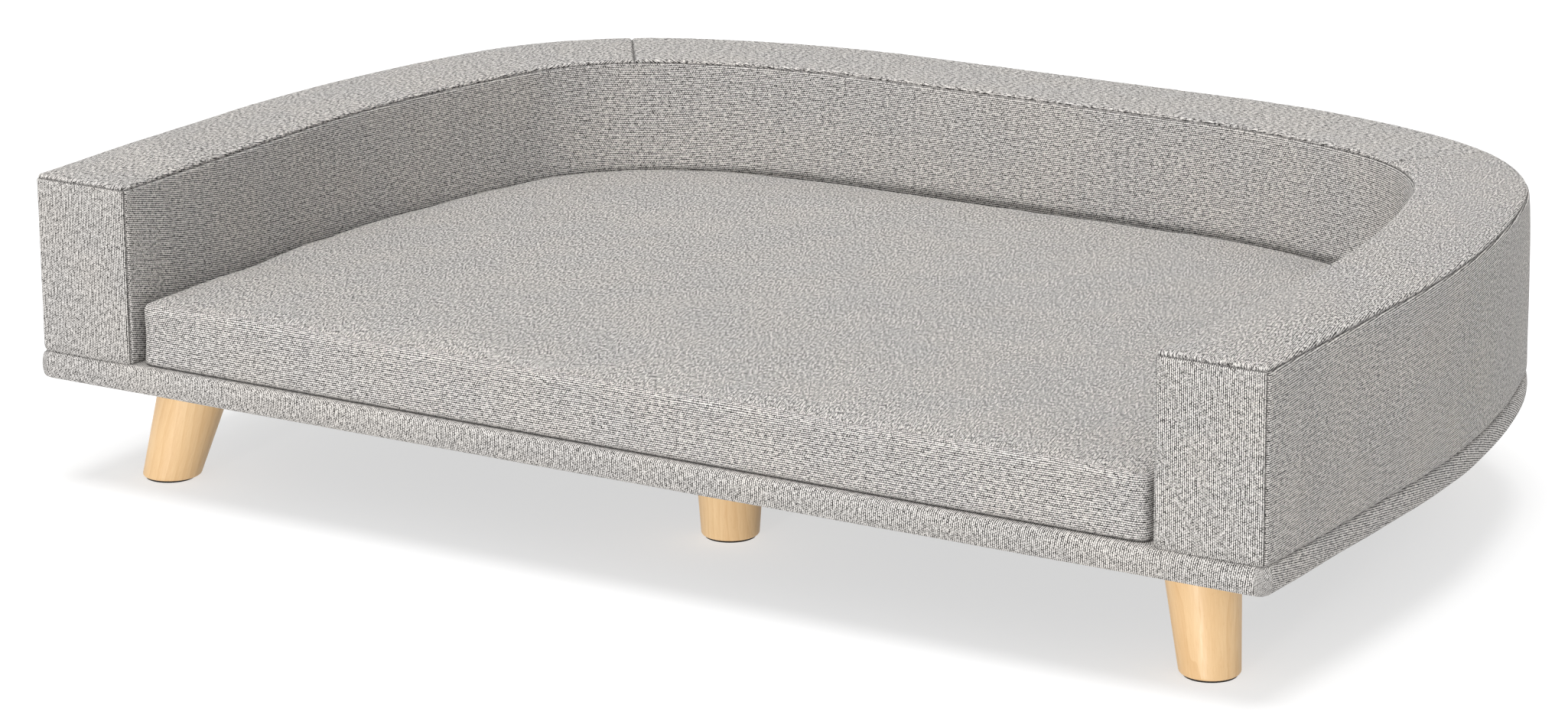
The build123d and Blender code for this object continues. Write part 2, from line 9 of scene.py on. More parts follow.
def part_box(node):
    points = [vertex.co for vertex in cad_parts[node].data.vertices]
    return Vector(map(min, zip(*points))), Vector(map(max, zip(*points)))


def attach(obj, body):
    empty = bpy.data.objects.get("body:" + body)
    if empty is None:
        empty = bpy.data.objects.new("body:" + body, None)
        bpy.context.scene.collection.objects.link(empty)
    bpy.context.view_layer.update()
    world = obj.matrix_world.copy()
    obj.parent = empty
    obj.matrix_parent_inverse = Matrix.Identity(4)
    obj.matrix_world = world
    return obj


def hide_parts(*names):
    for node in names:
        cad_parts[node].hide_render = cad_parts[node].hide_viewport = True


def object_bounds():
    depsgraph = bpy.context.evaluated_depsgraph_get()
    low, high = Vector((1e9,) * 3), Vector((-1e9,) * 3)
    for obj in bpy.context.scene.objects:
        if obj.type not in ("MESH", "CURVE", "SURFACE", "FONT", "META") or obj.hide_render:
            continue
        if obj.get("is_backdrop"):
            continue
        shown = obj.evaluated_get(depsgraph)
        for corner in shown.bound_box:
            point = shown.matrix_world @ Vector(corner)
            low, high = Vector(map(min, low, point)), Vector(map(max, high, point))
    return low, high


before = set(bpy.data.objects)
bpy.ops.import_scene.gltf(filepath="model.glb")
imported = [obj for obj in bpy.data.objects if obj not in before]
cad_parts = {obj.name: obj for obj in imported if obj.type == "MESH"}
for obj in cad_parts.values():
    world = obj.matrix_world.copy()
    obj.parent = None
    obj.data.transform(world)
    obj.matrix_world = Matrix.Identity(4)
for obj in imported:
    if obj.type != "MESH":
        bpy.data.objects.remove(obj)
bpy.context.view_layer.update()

# Legs: six feet turned from pale beech and waxed, 52 mm across at the top and 41 mm at the
# floor. Each is screwed up on its hanger bolt against the plate's boss. The four corner legs
# lean out along their diagonals, and every foot is cut level with the floor.
leg_top_radius = 0.026
leg_foot_radius = 0.0205
leg_edge_round = 0.002
leg_splay = radians(16.5)
leg_boss_land = 0.0016
plate_thickness = 0.0025
pad_thickness = 0.0015
leg_turn_steps = 97
leg_length_steps = 24
beech_light = (0.86, 0.605, 0.335, 1)
beech_dark = (0.70, 0.43, 0.20, 1)
beech_ring_width = 0.0052


def quads_of(rows, columns):
    """Corner numbers of a grid's quads, row by row."""
    index = np.arange(rows * columns).reshape(rows, columns)
    corners = (index[:-1, :-1], index[:-1, 1:], index[1:, 1:], index[1:, :-1])
    return np.stack(corners, axis=-1).reshape(-1, 4)


def sheet_mesh(name, points, cloth=None):
    """A mesh of a grid of points, rows by columns by 3. Where the cloth's own flat coordinates
    are given, one pair for each point, they become the UV map named cloth."""
    rows, columns = points.shape[:2]
    mesh = bpy.data.meshes.new(name)
    mesh.from_pydata(points.reshape(-1, 3).tolist(), [], quads_of(rows, columns).tolist())
    if cloth is not None:
        corner = np.empty(len(mesh.loops), int)
        mesh.loops.foreach_get("vertex_index", corner)
        layer = mesh.uv_layers.new(name="cloth")
        layer.data.foreach_set("uv", cloth.reshape(-1, 2)[corner].ravel())
    return mesh


def sew(meshes, name, weld=2e-6, closed=True):
    """One object of several meshes, merged where their borders meet, smooth, facing outwards."""
    work = bmesh.new()
    for mesh in meshes:
        work.from_mesh(mesh)
        bpy.data.meshes.remove(mesh)
    bmesh.ops.remove_doubles(work, verts=work.verts, dist=weld)
    bmesh.ops.dissolve_degenerate(work, dist=weld, edges=work.edges)
    if closed:
        bmesh.ops.recalc_face_normals(work, faces=work.faces)
    for face in work.faces:
        face.smooth = True
    mesh = bpy.data.meshes.new(name)
    work.to_mesh(mesh)
    work.free()
    piece = bpy.data.objects.new(name, mesh)
    bpy.context.scene.collection.objects.link(piece)
    return piece


class Finish:
    """A material under construction: its node tree, its shader and short ways to add nodes."""

    def __init__(self, name, roughness=0.5, metallic=0.0, specular=0.5):
        self.material = bpy.data.materials.new(name)
        self.material.use_nodes = True
        self.tree = self.material.node_tree
        self.shader = self.tree.nodes["Principled BSDF"]
        self.set(roughness=roughness, metallic=metallic, specular_ior_level=specular)

    def set(self, **values):
        """Sets the shader's own sockets, such as sheen_weight=0.2."""
        for word, value in values.items():
            wanted = word.replace("_", " ").title().replace("Ior", "IOR")
            self.shader.inputs[wanted].default_value = value

    def node(self, kind):
        """A new shader node."""
        return self.tree.nodes.new("ShaderNode" + kind)

    def feed(self, socket, value):
        """Links an output to a socket, or writes a plain value there."""
        if isinstance(value, bpy.types.NodeSocket):
            self.tree.links.new(value, socket)
        else:
            socket.default_value = value

    def place(self, kind="Object"):
        """Object coordinates, or a named attribute or UV map."""
        if kind == "Object":
            return self.node("TexCoord").outputs["Object"]
        if kind == "cloth":
            uv = self.node("UVMap")
            uv.uv_map = "cloth"
            return uv.outputs["UV"]
        attribute = self.node("Attribute")
        attribute.attribute_name = kind
        return attribute.outputs["Vector"]

    def math(self, operation, first, second=0.0, third=0.0):
        """One arithmetic step on numbers or outputs."""
        node = self.node("Math")
        node.operation = operation
        for socket, value in zip(node.inputs, (first, second, third)):
            self.feed(socket, value)
        return node.outputs[0]

    def wave(self, value, rate):
        """The sine of a value times a rate."""
        return self.math("SINE", self.math("MULTIPLY", value, rate))

    def total(self, *terms):
        """The sum of numbers or outputs."""
        result = terms[0]
        for term in terms[1:]:
            result = self.math("ADD", result, term)
        return result

    def split(self, vector):
        """The parts of a vector."""
        node = self.node("SeparateXYZ")
        self.feed(node.inputs[0], vector)
        return node.outputs

    def noise(self, place, scale, detail=2.0, roughness=0.5):
        """Soft random values from 0 to 1, about 0.5 on the whole, of a place multiplied by a scale
        in each direction, so that the pattern draws out."""
        drawn = self.node("VectorMath")
        drawn.operation = "MULTIPLY"
        self.feed(drawn.inputs[0], place)
        drawn.inputs[1].default_value = scale
        node = self.node("TexNoise")
        self.feed(node.inputs["Vector"], drawn.outputs[0])
        node.inputs["Scale"].default_value = 1.0
        node.inputs["Detail"].default_value = detail
        node.inputs["Roughness"].default_value = roughness
        return node.outputs["Fac"]

    def span(self, value, low, high, to_low=0.0, to_high=1.0):
        """A value's range from low to high carried to another range and clamped there."""
        node = self.node("MapRange")
        for socket, number in zip(node.inputs, (value, low, high, to_low, to_high)):
            self.feed(socket, number)
        return node.outputs[0]

    def spread(self, noise, to_low=0.0, to_high=1.0):
        """Noise, most of which lies from 0.3 to 0.7, carried to another range."""
        return self.span(noise, 0.3, 0.7, to_low, to_high)

    def colours(self, share, first, second):
        """A colour between two, by a share from 0 to 1."""
        node = self.node("Mix")
        node.data_type = "RGBA"
        self.feed(node.inputs[0], share)
        self.feed(node.inputs[6], first)
        self.feed(node.inputs[7], second)
        return node.outputs[2]

    def paint(self, share, first, second):
        """Gives the shader a colour between two, by a share from 0 to 1."""
        self.feed(self.shader.inputs["Base Color"], self.colours(share, first, second))

    def relief(self, height, depth, strength=1.0):
        """Raises the surface by a height from 0 to 1 times a depth in metres."""
        node = self.node("Bump")
        node.inputs["Strength"].default_value = strength
        node.inputs["Distance"].default_value = depth
        self.feed(node.inputs["Height"], height)
        self.feed(self.shader.inputs["Normal"], node.outputs[0])


def beech():
    """Waxed beech: growth rings about a pith beside the leg, fine fibres and short flecks along
    it, all in the leg's own coordinates, which the attribute named grain holds."""
    wood = Finish("waxed_beech", roughness=0.42, specular=0.4)
    grain = wood.place("grain")
    drift = wood.noise(grain, (28, 28, 7))
    across, aside, along = wood.split(grain)
    sideways = wood.math("MULTIPLY_ADD", across, across, wood.math("MULTIPLY", aside, aside))
    reach = wood.math("DIVIDE", wood.math("SQRT", sideways), beech_ring_width)
    phase = wood.total(reach, wood.math("MULTIPLY", drift, 3.2), wood.math("MULTIPLY", along, 9.0))
    rings = wood.math("FRACT", phase)
    late = wood.math("POWER", rings, 2.2)
    fibres = wood.noise(grain, (900, 900, 34), detail=3, roughness=0.6)
    flecks = wood.span(wood.noise(grain, (1500, 500, 190), detail=1), 0.62, 0.72)
    cloud = wood.noise(grain, (40, 40, 14), detail=1)
    share = wood.total(
        wood.math("MULTIPLY", late, 0.34),
        wood.spread(fibres, 0.0, 0.3),
        wood.spread(cloud, 0.0, 0.28),
        wood.math("MULTIPLY", flecks, 0.16),
    )
    wood.paint(share, beech_light, beech_dark)
    wood.feed(wood.shader.inputs["Roughness"], wood.spread(fibres, 0.36, 0.52))
    wood.relief(fibres, 0.00008, 0.5)
    return wood.material


def turned_leg(name, centre, lean, tilt):
    """A truncated cone about a tilted axis. Each straight line of its side runs from the top
    circle to where it meets the level of the pad; both rims are rounded and both ends closed."""
    outward = np.array([*lean, 0.0])
    outward /= np.linalg.norm(outward)
    axis = outward * sin(tilt) - np.array([0, 0, 1.0]) * cos(tilt)
    level = outward * cos(tilt) + np.array([0, 0, 1.0]) * sin(tilt)
    cross = np.cross(axis, level)
    boss = leg_top_radius * tan(tilt) + leg_boss_land
    top = centre + axis * boss
    length = centre[2] / cos(tilt) - boss
    turn = np.linspace(0, 2 * pi, leg_turn_steps)
    spoke = np.cos(turn)[:, None] * level + np.sin(turn)[:, None] * cross
    upper = top + leg_top_radius * spoke
    slope = axis * length + (leg_foot_radius - leg_top_radius) * spoke
    lower = upper + slope * ((pad_thickness - upper[:, 2]) / slope[:, 2])[:, None]
    run = np.linalg.norm(lower - upper, axis=1)[:, None]
    along = (lower - upper) / run
    foot_middle = lower[:-1].mean(0)
    sweep = np.linspace(0, pi / 2, 7)
    rings = [upper + (top - upper) * share for share in (1.0, 0.97, 0.6)]
    rings += [
        upper + along * leg_edge_round * (1 - sin(a)) - spoke * leg_edge_round * (1 - cos(a))
        for a in sweep[::-1]
    ]
    shares = np.arange(1, leg_length_steps) / leg_length_steps
    rings += [upper + along * (leg_edge_round + (run - 2 * leg_edge_round) * share) for share in shares]
    inwards = (foot_middle - lower) / np.linalg.norm(foot_middle - lower, axis=1)[:, None]
    rings += [
        lower - along * leg_edge_round * (1 - sin(a)) + inwards * leg_edge_round * (1 - cos(a))
        for a in sweep
    ]
    rim = rings[-1].copy()
    rim[:, 2] = pad_thickness
    rings[-1] = rim
    rings += [rim + (foot_middle - rim) * share for share in (0.4, 0.97, 1.0)]
    leg = sew([sheet_mesh(name, np.array(rings))], name)
    flat = np.array([vertex.co for vertex in leg.data.vertices]) - top
    pith = np.array([0.034 + 0.01 * sin(31 * centre[0]), 0.02 * cos(47 * centre[1]), 5 * centre[0]])
    own = np.stack([flat @ level, flat @ cross, flat @ axis], axis=1) + pith
    leg.data.attributes.new("grain", "FLOAT_VECTOR", "POINT").data.foreach_set("vector", own.ravel())
    return leg


waxed_beech = beech()
leg_leans = {
    "front_left": (-1, -1), "front_middle": None, "front_right": (1, -1),
    "rear_left": (-1, 1), "rear_middle": None, "rear_right": (1, 1),
}
for spot, lean in leg_leans.items():
    low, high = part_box(f"{spot}_leg_plate")
    plate_centre = np.array([(low.x + high.x) / 2, (low.y + high.y) / 2, high.z - plate_thickness])
    leg = turned_leg(f"{spot}_turned_leg", plate_centre, lean or (1, 0), leg_splay if lean else 0.0)
    leg.data.materials.append(waxed_beech)
    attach(leg, "bed")
    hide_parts(f"{spot}_leg")


# Leg plates, hanger bolts, screws, and the bolster's bolts with their washers and tee nuts:
# pressed and turned steel with bright zinc plating, a little cloudy, as it comes from the bath.
plate_grey = (0.62, 0.63, 0.64, 1)
fastener_grey = (0.70, 0.69, 0.66, 1)
zinc_shade = 0.72


def zinc(name, tone, roughness):
    """Zinc plate: a cloudy bright grey with fine scratches and a slightly uneven gloss."""
    plate = Finish(name, roughness=roughness, metallic=1.0)
    place = plate.place()
    cloud = plate.noise(place, (220, 220, 220), detail=3)
    scratch = plate.noise(place, (2600, 240, 900))
    dark = tuple(zinc_shade * part for part in tone[:3]) + (1,)
    plate.paint(plate.spread(cloud), tone, dark)
    gloss = plate.spread(cloud, roughness - 0.08, roughness + 0.1)
    plate.feed(plate.shader.inputs["Roughness"], gloss)
    plate.relief(scratch, 0.00005, 0.4)
    return plate.material


def dress(nodes, material):
    """Puts a material on carried-over nodes, in place of the plain one."""
    for node in nodes:
        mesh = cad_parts[node].data
        mesh.materials.clear()
        mesh.materials.append(material)


dress([f"{spot}_leg_plate" for spot in leg_leans], zinc("zinc_plate", plate_grey, 0.38))
dress(
    ["hanger_bolts", "leg_plate_screws", "bolster_bolts", "bolster_washers", "bolster_tee_nuts"],
    zinc("zinc_fasteners", fastener_grey, 0.3),
)


# Foot pads: discs cut from black pressed felt and glued under the feet, so that these don't
# scratch the floor.
felt_light = (0.06, 0.055, 0.05, 1)
felt_dark = (0.015, 0.014, 0.013, 1)


def matted(name, dark, light, scale, depth, strength, **gloss):
    """Pressed fibres: fine noise that colours and raises the surface alike."""
    felt = Finish(name, **gloss)
    fibres = felt.noise(felt.place(), scale, detail=4, roughness=0.7)
    felt.paint(felt.spread(fibres), dark, light)
    felt.relief(fibres, depth, strength)
    return felt.material


dress(["foot_pads"], matted(
    "black_felt", felt_dark, felt_light, (1800, 1800, 900), 0.0003, 0.8, roughness=0.95, specular=0.1,
))


# Boards inside: the base panel, the bolster's two plates and its uprights are birch plywood,
# and the boards bent round them are thin hardboard. All of it is hidden by cloth and foam.
birch_light = (0.78, 0.60, 0.38, 1)
birch_dark = (0.56, 0.38, 0.20, 1)
plies_per_metre = 720
fibre_dark = (0.20, 0.11, 0.05, 1)
fibre_light = (0.40, 0.25, 0.13, 1)


def plywood():
    """Birch plywood: plies of alternate grain seen as thin stripes by height, and a soft figure."""
    board = Finish("birch_plywood", roughness=0.6, specular=0.3)
    place = board.place()
    figure = board.noise(place, (9, 160, 9), detail=4, roughness=0.6)
    across, aside, height = board.split(place)
    plies = board.math("FRACT", board.math("MULTIPLY", height, plies_per_metre))
    share = board.total(board.spread(figure, 0.0, 0.6), board.span(plies, 0.45, 0.55, 0.0, 0.3))
    board.paint(share, birch_light, birch_dark)
    board.relief(figure, 0.0001, 0.5)
    return board.material


dress(["base_panel", "bolster_bottom_plate", "bolster_top_plate", "bolster_uprights"], plywood())
dress(["bolster_outer_board", "bolster_inner_board", "bolster_end_boards"], matted(
    "hardboard", fibre_dark, fibre_light, (700, 700, 700), 0.0001, 0.4, roughness=0.7, specular=0.25,
))


# Base cover: one piece of ribbed grey cloth drawn over the padded slab from above, down its
# rounded rim and under it to a hem 30 mm wide. Its ribs run from front to back, so they stand
# upright on the front edge and lie along the two sides.
half_width = 0.498
back_y = 0.3255
front_y = -0.3255
shoulder_radius = 0.510
corner_radius = 0.221
flank_radius = 0.890
shoulder_turn = radians(21.5)
flank_turn = radians(17.5)
base_ledge = 0.002
base_rim_round = 0.0045
base_corner = 0.008
sharp_corner = 0.0008
hem_width = 0.030
cloth_thickness = 0.0012
rib_pitch = 0.0015
fine_rib_pitch = 0.0012
bead_length = 1.22
cloth_lightness = 0.61
# Painted shade: how dark the cloth's colour goes on the seam lines, standing in for the shadow in the
# seams' dip.
seam_painted_shade = 0.45
cloth_warm = (0.727, 0.694, 0.658, 1)
cloth_cool = (0.715, 0.690, 0.664, 1)
cloth_dark = (0.018, 0.016, 0.015, 1)

corner_turn = pi / 2 - flank_turn
back_half = (
    half_width
    - shoulder_radius * sin(shoulder_turn)
    - corner_radius * (cos(flank_turn) - sin(shoulder_turn))
    - flank_radius * (1 - cos(flank_turn))
)
shoulder_centre = np.array([back_half, back_y - shoulder_radius])
shoulder_way = np.array([sin(shoulder_turn), cos(shoulder_turn)])
corner_way = np.array([sin(corner_turn), cos(corner_turn)])
corner_centre = shoulder_centre + (shoulder_radius - corner_radius) * shoulder_way
flank_centre = corner_centre + (corner_radius - flank_radius) * corner_way
piece_turns = [pi, pi, pi / 2, pi / 2, corner_turn, shoulder_turn, 0, 0]
piece_lengths = [
    half_width,
    base_corner * pi / 2,
    flank_centre[1] - front_y,
    flank_radius * flank_turn,
    corner_radius * (corner_turn - shoulder_turn),
    shoulder_radius * shoulder_turn,
    back_half,
]


def outline(place, inset, front, corner):
    """The bed's D outline moved inwards by an inset, as points and outward directions. A place
    counts its pieces: 0 is the middle of the front edge, 1 to 2 the right front corner, 2 to 3
    the straight side, 3 to 6 the three tangent arcs, 7 the middle of the back, 14 the front
    again. Arcs are centre plus (radius - inset) times direction; straights are in proportion."""
    place, inset, front, corner = np.broadcast_arrays(*np.atleast_1d(place, inset, front, corner))
    ahead = np.mod(place, 14)
    side = np.where(ahead <= 7, 1.0, -1.0)
    ahead = np.minimum(ahead, 14 - ahead)
    piece = np.clip(np.floor(ahead), 0, 6)
    share = ahead - piece
    turn = np.interp(ahead, range(8), piece_turns)
    out = np.stack([np.sin(turn), np.cos(turn)], axis=-1)
    side_x = half_width - inset
    centre_x = np.choose(piece.astype(int), [
        share * (side_x - corner), side_x - corner, side_x,
        flank_centre[0], corner_centre[0], shoulder_centre[0], back_half * (1 - share),
    ])
    centre_y = np.choose(piece.astype(int), [
        front, front + corner, front + corner + share * (flank_centre[1] - front - corner),
        flank_centre[1], corner_centre[1], shoulder_centre[1], back_y - inset,
    ])
    radius = np.choose(piece.astype(int), [
        0 * inset, corner, 0 * inset,
        flank_radius - inset, corner_radius - inset, shoulder_radius - inset, 0 * inset,
    ])
    x = side * (centre_x + radius * out[..., 0])
    y = centre_y + radius * out[..., 1]
    return np.stack([x, y], axis=-1), out * np.stack([side, np.ones_like(side)], axis=-1)


def steps(start, end, count):
    """Places evenly spaced by length along the outline, from start to end."""
    knots = np.arange(-7, 22)
    lengths = [piece_lengths[min(k % 14, 13 - k % 14)] for k in knots[:-1]]
    mileage = np.concatenate([[0], np.cumsum(lengths)])
    run = np.linspace(np.interp(start, knots, mileage), np.interp(end, knots, mileage), count)
    return np.interp(run, mileage, knots)


# Places on the outline where a patch's corners lie: half round the front corners, and where the
# bolster's mitres meet its edge.
front_corner_place = 1.5
mitre_turn = radians(35)
mitre_place = 5 - (mitre_turn - shoulder_turn) / (corner_turn - shoulder_turn)


def patch_sides(across, deep):
    """The places of a patch's front, right, back and left borders, once round."""
    ends = (-front_corner_place, front_corner_place, mitre_place, 14 - mitre_place)
    counts = (across, deep, across, deep)
    return [steps(*side) for side in zip(ends, (*ends[1:], 14 - front_corner_place), counts)]


def patch(inset, front, corner, across, deep):
    """A D filled with a four-sided net: Coons's blend of the front edge, the two sides and the
    back, which meet in the middle of the front corners and at the bolster's mitres."""
    sides = patch_sides(across, deep)
    front_edge, right_edge, back_edge, left_edge = (
        outline(side, inset, front, corner)[0] for side in sides
    )
    back_edge, left_edge = back_edge[::-1], left_edge[::-1]
    u = np.linspace(0, 1, across)[None, :, None]
    v = np.linspace(0, 1, deep)[:, None, None]
    corners = (
        (1 - u) * (1 - v) * front_edge[0] + u * (1 - v) * front_edge[-1]
        + (1 - u) * v * back_edge[0] + u * v * back_edge[-1]
    )
    ruled = (1 - v) * front_edge[None] + v * back_edge[None]
    return ruled + (1 - u) * left_edge[:, None] + u * right_edge[:, None] - corners


def loop_steps(across, deep):
    """The places of a patch's border, once round from the left front corner."""
    first, *others = patch_sides(across, deep)
    return np.concatenate([first, *(side[1:] for side in others)])


def slack(first, second, seed, height, wavelength):
    """The slight unevenness of stretched cloth: 14 plane waves of random direction and phase
    over two lengths in metres, the longest of the wavelength given."""
    chance = np.random.default_rng(seed)
    total = np.zeros(np.broadcast(first, second).shape)
    for turn, phase, scale in chance.uniform((0, 0, 0.35), (2 * pi, 2 * pi, 1), (14, 3)):
        wave = (first * cos(turn) + second * sin(turn)) / (wavelength * scale)
        total += scale * np.sin(2 * pi * wave + phase)
    return height * total / 4


def thicken(piece, thickness):
    """Gives a skin its thickness, inwards from the outside that the mesh is."""
    solid = piece.modifiers.new("cloth", "SOLIDIFY")
    solid.thickness = thickness
    solid.offset = -1


def lifted(flat, height):
    """Points in the plan with a height, one for all or one for each."""
    height = np.broadcast_to(height, flat.shape[:-1])
    return np.concatenate([flat, height[..., None]], axis=-1)


def mileage_of(points, axis):
    """Distance run along one axis of a grid of points."""
    step = np.linalg.norm(np.diff(points, axis=axis), axis=-1)
    start = np.zeros_like(np.take(step, [0], axis=axis))
    return np.concatenate([start, np.cumsum(step, axis=axis)], axis=axis)


def laid(plan, heading):
    """Places in the plan as distances along and across a heading: cloth cut flat, with its ribs
    that way."""
    ahead = plan[..., 0] * cos(heading) + plan[..., 1] * sin(heading)
    aside = plan[..., 1] * cos(heading) - plan[..., 0] * sin(heading)
    return np.stack([ahead, aside], axis=-1)


def woven(name, pitch, rib, bead, speckle, mottle, clump):
    """Ribbed linen-look cloth in its own flat coordinates, ribs along the first of them. Each rib
    is a sine across, cut off flat. Its beads are a sine along it times one of half the ribs'
    rate across, so that they stand like bricks, and they drift. Fine fuzz, slubs, clumps of a
    length and width in metres, streaks and broad clouds of warmth come from drawn-out noise. The
    attribute named seam paints shade into the colour along the line where two panels meet, for the
    shadow in the seam's dip."""
    cloth = Finish(name, roughness=0.92, specular=0.18)
    cloth.set(sheen_weight=0.12, sheen_roughness=0.45)
    flat = cloth.place("cloth")
    along, across = cloth.split(flat)[:2]
    seam = cloth.split(cloth.place("seam"))[0]
    wander = cloth.noise(flat, (70, 160, 0), detail=1)
    drift = cloth.noise(flat, (90, 60, 0), detail=1)
    count = cloth.math("MULTIPLY_ADD", wander, 0.5, cloth.math("DIVIDE", across, pitch))
    ribs = cloth.wave(count, 2 * pi)
    phase = cloth.math("ADD", drift, cloth.math("DIVIDE", along, bead_length * pitch))
    bricks = cloth.math("SINE", cloth.math("MULTIPLY_ADD", count, pi, pi / 4))
    beads = cloth.math("MULTIPLY", cloth.wave(phase, 2 * pi), bricks)
    fuzz = cloth.noise(flat, (2.2 / pitch, 2.6 / pitch, 0), detail=1)
    slub = cloth.noise(flat, (1.5 / pitch, 0.8 / pitch, 0), detail=0)
    clumps = cloth.noise(flat, (1 / clump[0], 1 / clump[1], 0), detail=1)
    streak = cloth.noise(flat, (150, 9, 0))
    cloud = cloth.noise(flat, (16, 16, 0))
    share = cloth.total(
        cloth.math("MULTIPLY_ADD", beads, bead, cloth.math("MULTIPLY_ADD", ribs, rib, cloth_lightness)),
        cloth.spread(fuzz, -speckle, speckle),
        cloth.spread(clumps, -mottle, mottle),
        cloth.span(slub, 0.35, 0.72, 0.13, -0.36),
        cloth.spread(streak, -0.035, 0.035),
        cloth.spread(cloud, -0.022, 0.022),
    )
    # Painted shade: the colour is darkened along the seam lines by the attribute named seam, for the shadow
    # in the seams' dip.
    shade = cloth.span(seam, 0.0, 1.0, 1.0, seam_painted_shade)
    share = cloth.math("MULTIPLY", cloth.span(share, 0.0, 1.0), shade)
    light = cloth.colours(cloth.span(cloud, 0.4, 0.6), cloth_cool, cloth_warm)
    cloth.paint(share, cloth_dark, light)
    rise = cloth.math("MULTIPLY_ADD", beads, 0.12, cloth.math("MULTIPLY_ADD", ribs, 0.32, 0.5))
    rise = cloth.math("ADD", rise, cloth.span(fuzz, 0.25, 0.75, -0.12, 0.12))
    cloth.relief(rise, 0.00035, 0.55)
    return cloth.material


ribbed_cloth = woven(
    "ribbed_grey_cloth", rib_pitch,
    rib=0.58, bead=0.36, speckle=0.50, mottle=0.34, clump=(0.0034, 0.0021),
)
rib_fan = 0.25
base_low, base_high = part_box("base_cover")
base_across, base_deep = 150, 90
base_lid_inset = 0.02
base_ring_places = loop_steps(base_across, base_deep)


def fanned(plan):
    """The base cloth's places: its ribs run from front to back and lean together by the fan for
    each metre of depth."""
    depth = plan[..., 1]
    return np.stack([depth, plan[..., 0] * (1 - rib_fan * (depth - front_y))], axis=-1)


def base_ring(inset, height):
    """One ring of the base's skin at an inset from the base's edge, with its height."""
    corner = np.maximum(base_corner - inset, sharp_corner)
    flat, out = outline(base_ring_places, inset - base_ledge, front_y - base_ledge + inset, corner)
    return lifted(flat, height), out


def base_upholstery():
    """The base's skin: rings from the hem's inner edge out to the rim, up round it and in over the
    top, where a patch closes it. The cloth's coordinates are the plan, laid out flat past the
    rim by the length of cloth that goes down it."""
    round_ = base_rim_round
    arc = np.linspace(0, pi / 2, 7)
    middle = (base_low.z + base_high.z) / 2
    near, far = round_ * (1 - np.sin(arc)), round_ * (1 - np.cos(arc))
    insets = [hem_width, hem_width - 0.002, 0.02, 0.012, *near]
    heights = [*[base_low.z] * 4, *(base_low.z + far)]
    insets += [-0.0005, -0.0008, -0.0005, *far]
    heights += [middle - 0.004, middle, middle + 0.004, *(base_high.z - near)]
    insets += [0.010, base_lid_inset]
    heights += [base_high.z] * 2
    rings = np.array([base_ring(inset, height)[0] for inset, height in zip(insets, heights)])
    mileage = mileage_of(rings, 0)
    edge, out = base_ring(insets[-1], base_high.z)
    beyond = mileage[-1] - mileage
    plans = edge[None, :, :2] + out[None] * beyond[..., None]
    wobble = slack(plans[..., 0], plans[..., 1], 11, 0.00035, 0.12)
    rings[4:-2, :, :2] += out[None] * wobble[4:-2, :, None]
    skirt = sheet_mesh("skirt", rings, fanned(plans))
    inset = base_lid_inset - base_ledge
    top = patch(inset, front_y + inset, sharp_corner, base_across, base_deep)
    lid = sheet_mesh("lid", lifted(top, base_high.z), fanned(top))
    cover = sew([skirt, lid], "base_upholstery")
    thicken(cover, cloth_thickness)
    return cover


base_cover = base_upholstery()
base_cover.data.materials.append(ribbed_cloth)
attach(base_cover, "bed")
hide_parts("base_cover", "base_padding")


# Dust cover: a sheet of black non-woven cloth that closes the underside inside the hem, pulled
# flat and stapled round its edge.
dust_inset = hem_width - base_ledge + 0.0004
dust_lift = 0.0005
dust_thickness = 0.0004
dust_across, dust_deep = 90, 60
mark_rate = 2600
dust_black = (0.012, 0.012, 0.013, 1)
dust_grey = (0.045, 0.045, 0.047, 1)


def dust_sheet():
    """The D inside the hem as a patch, half a millimetre up, with a faint unevenness."""
    flat = patch(dust_inset, front_y + dust_inset, sharp_corner, dust_across, dust_deep)
    level = base_low.z + dust_lift + slack(flat[..., 0], flat[..., 1], 5, 0.00012, 0.08)
    sheet = sew([sheet_mesh("dust", lifted(flat, level)[:, ::-1])], "dust_sheet", closed=False)
    thicken(sheet, dust_thickness)
    places = loop_steps(dust_across, dust_deep)
    border = outline(places, dust_inset, front_y + dust_inset, sharp_corner)[0]
    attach(sheet, "bed")
    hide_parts("dust_cover")
    return sheet


def non_woven():
    """Black spun-bonded cloth: matted filaments and the small square marks of the press rolls."""
    cloth = Finish("black_non_woven", roughness=0.85, specular=0.2)
    place = cloth.place()
    across, aside, height = cloth.split(place)
    marks = cloth.math("MULTIPLY", cloth.wave(across, mark_rate), cloth.wave(aside, mark_rate))
    fibre = cloth.noise(place, (900, 900, 900), detail=4, roughness=0.7)
    share = cloth.math("MULTIPLY_ADD", marks, 0.25, cloth.spread(fibre, 0.0, 0.7))
    cloth.paint(share, dust_black, dust_grey)
    cloth.relief(share, 0.0002, 0.6)
    return cloth.material


dust_sheet().data.materials.append(non_woven())

# Staples: bent from flat steel wire and shot in along the edge of the dust cover, one every
# 35 mm or so.
staple_inset = hem_width - base_ledge + 0.0015
staple_pitch = 0.035
staple_crown = 0.0095
staple_wire = 0.0009


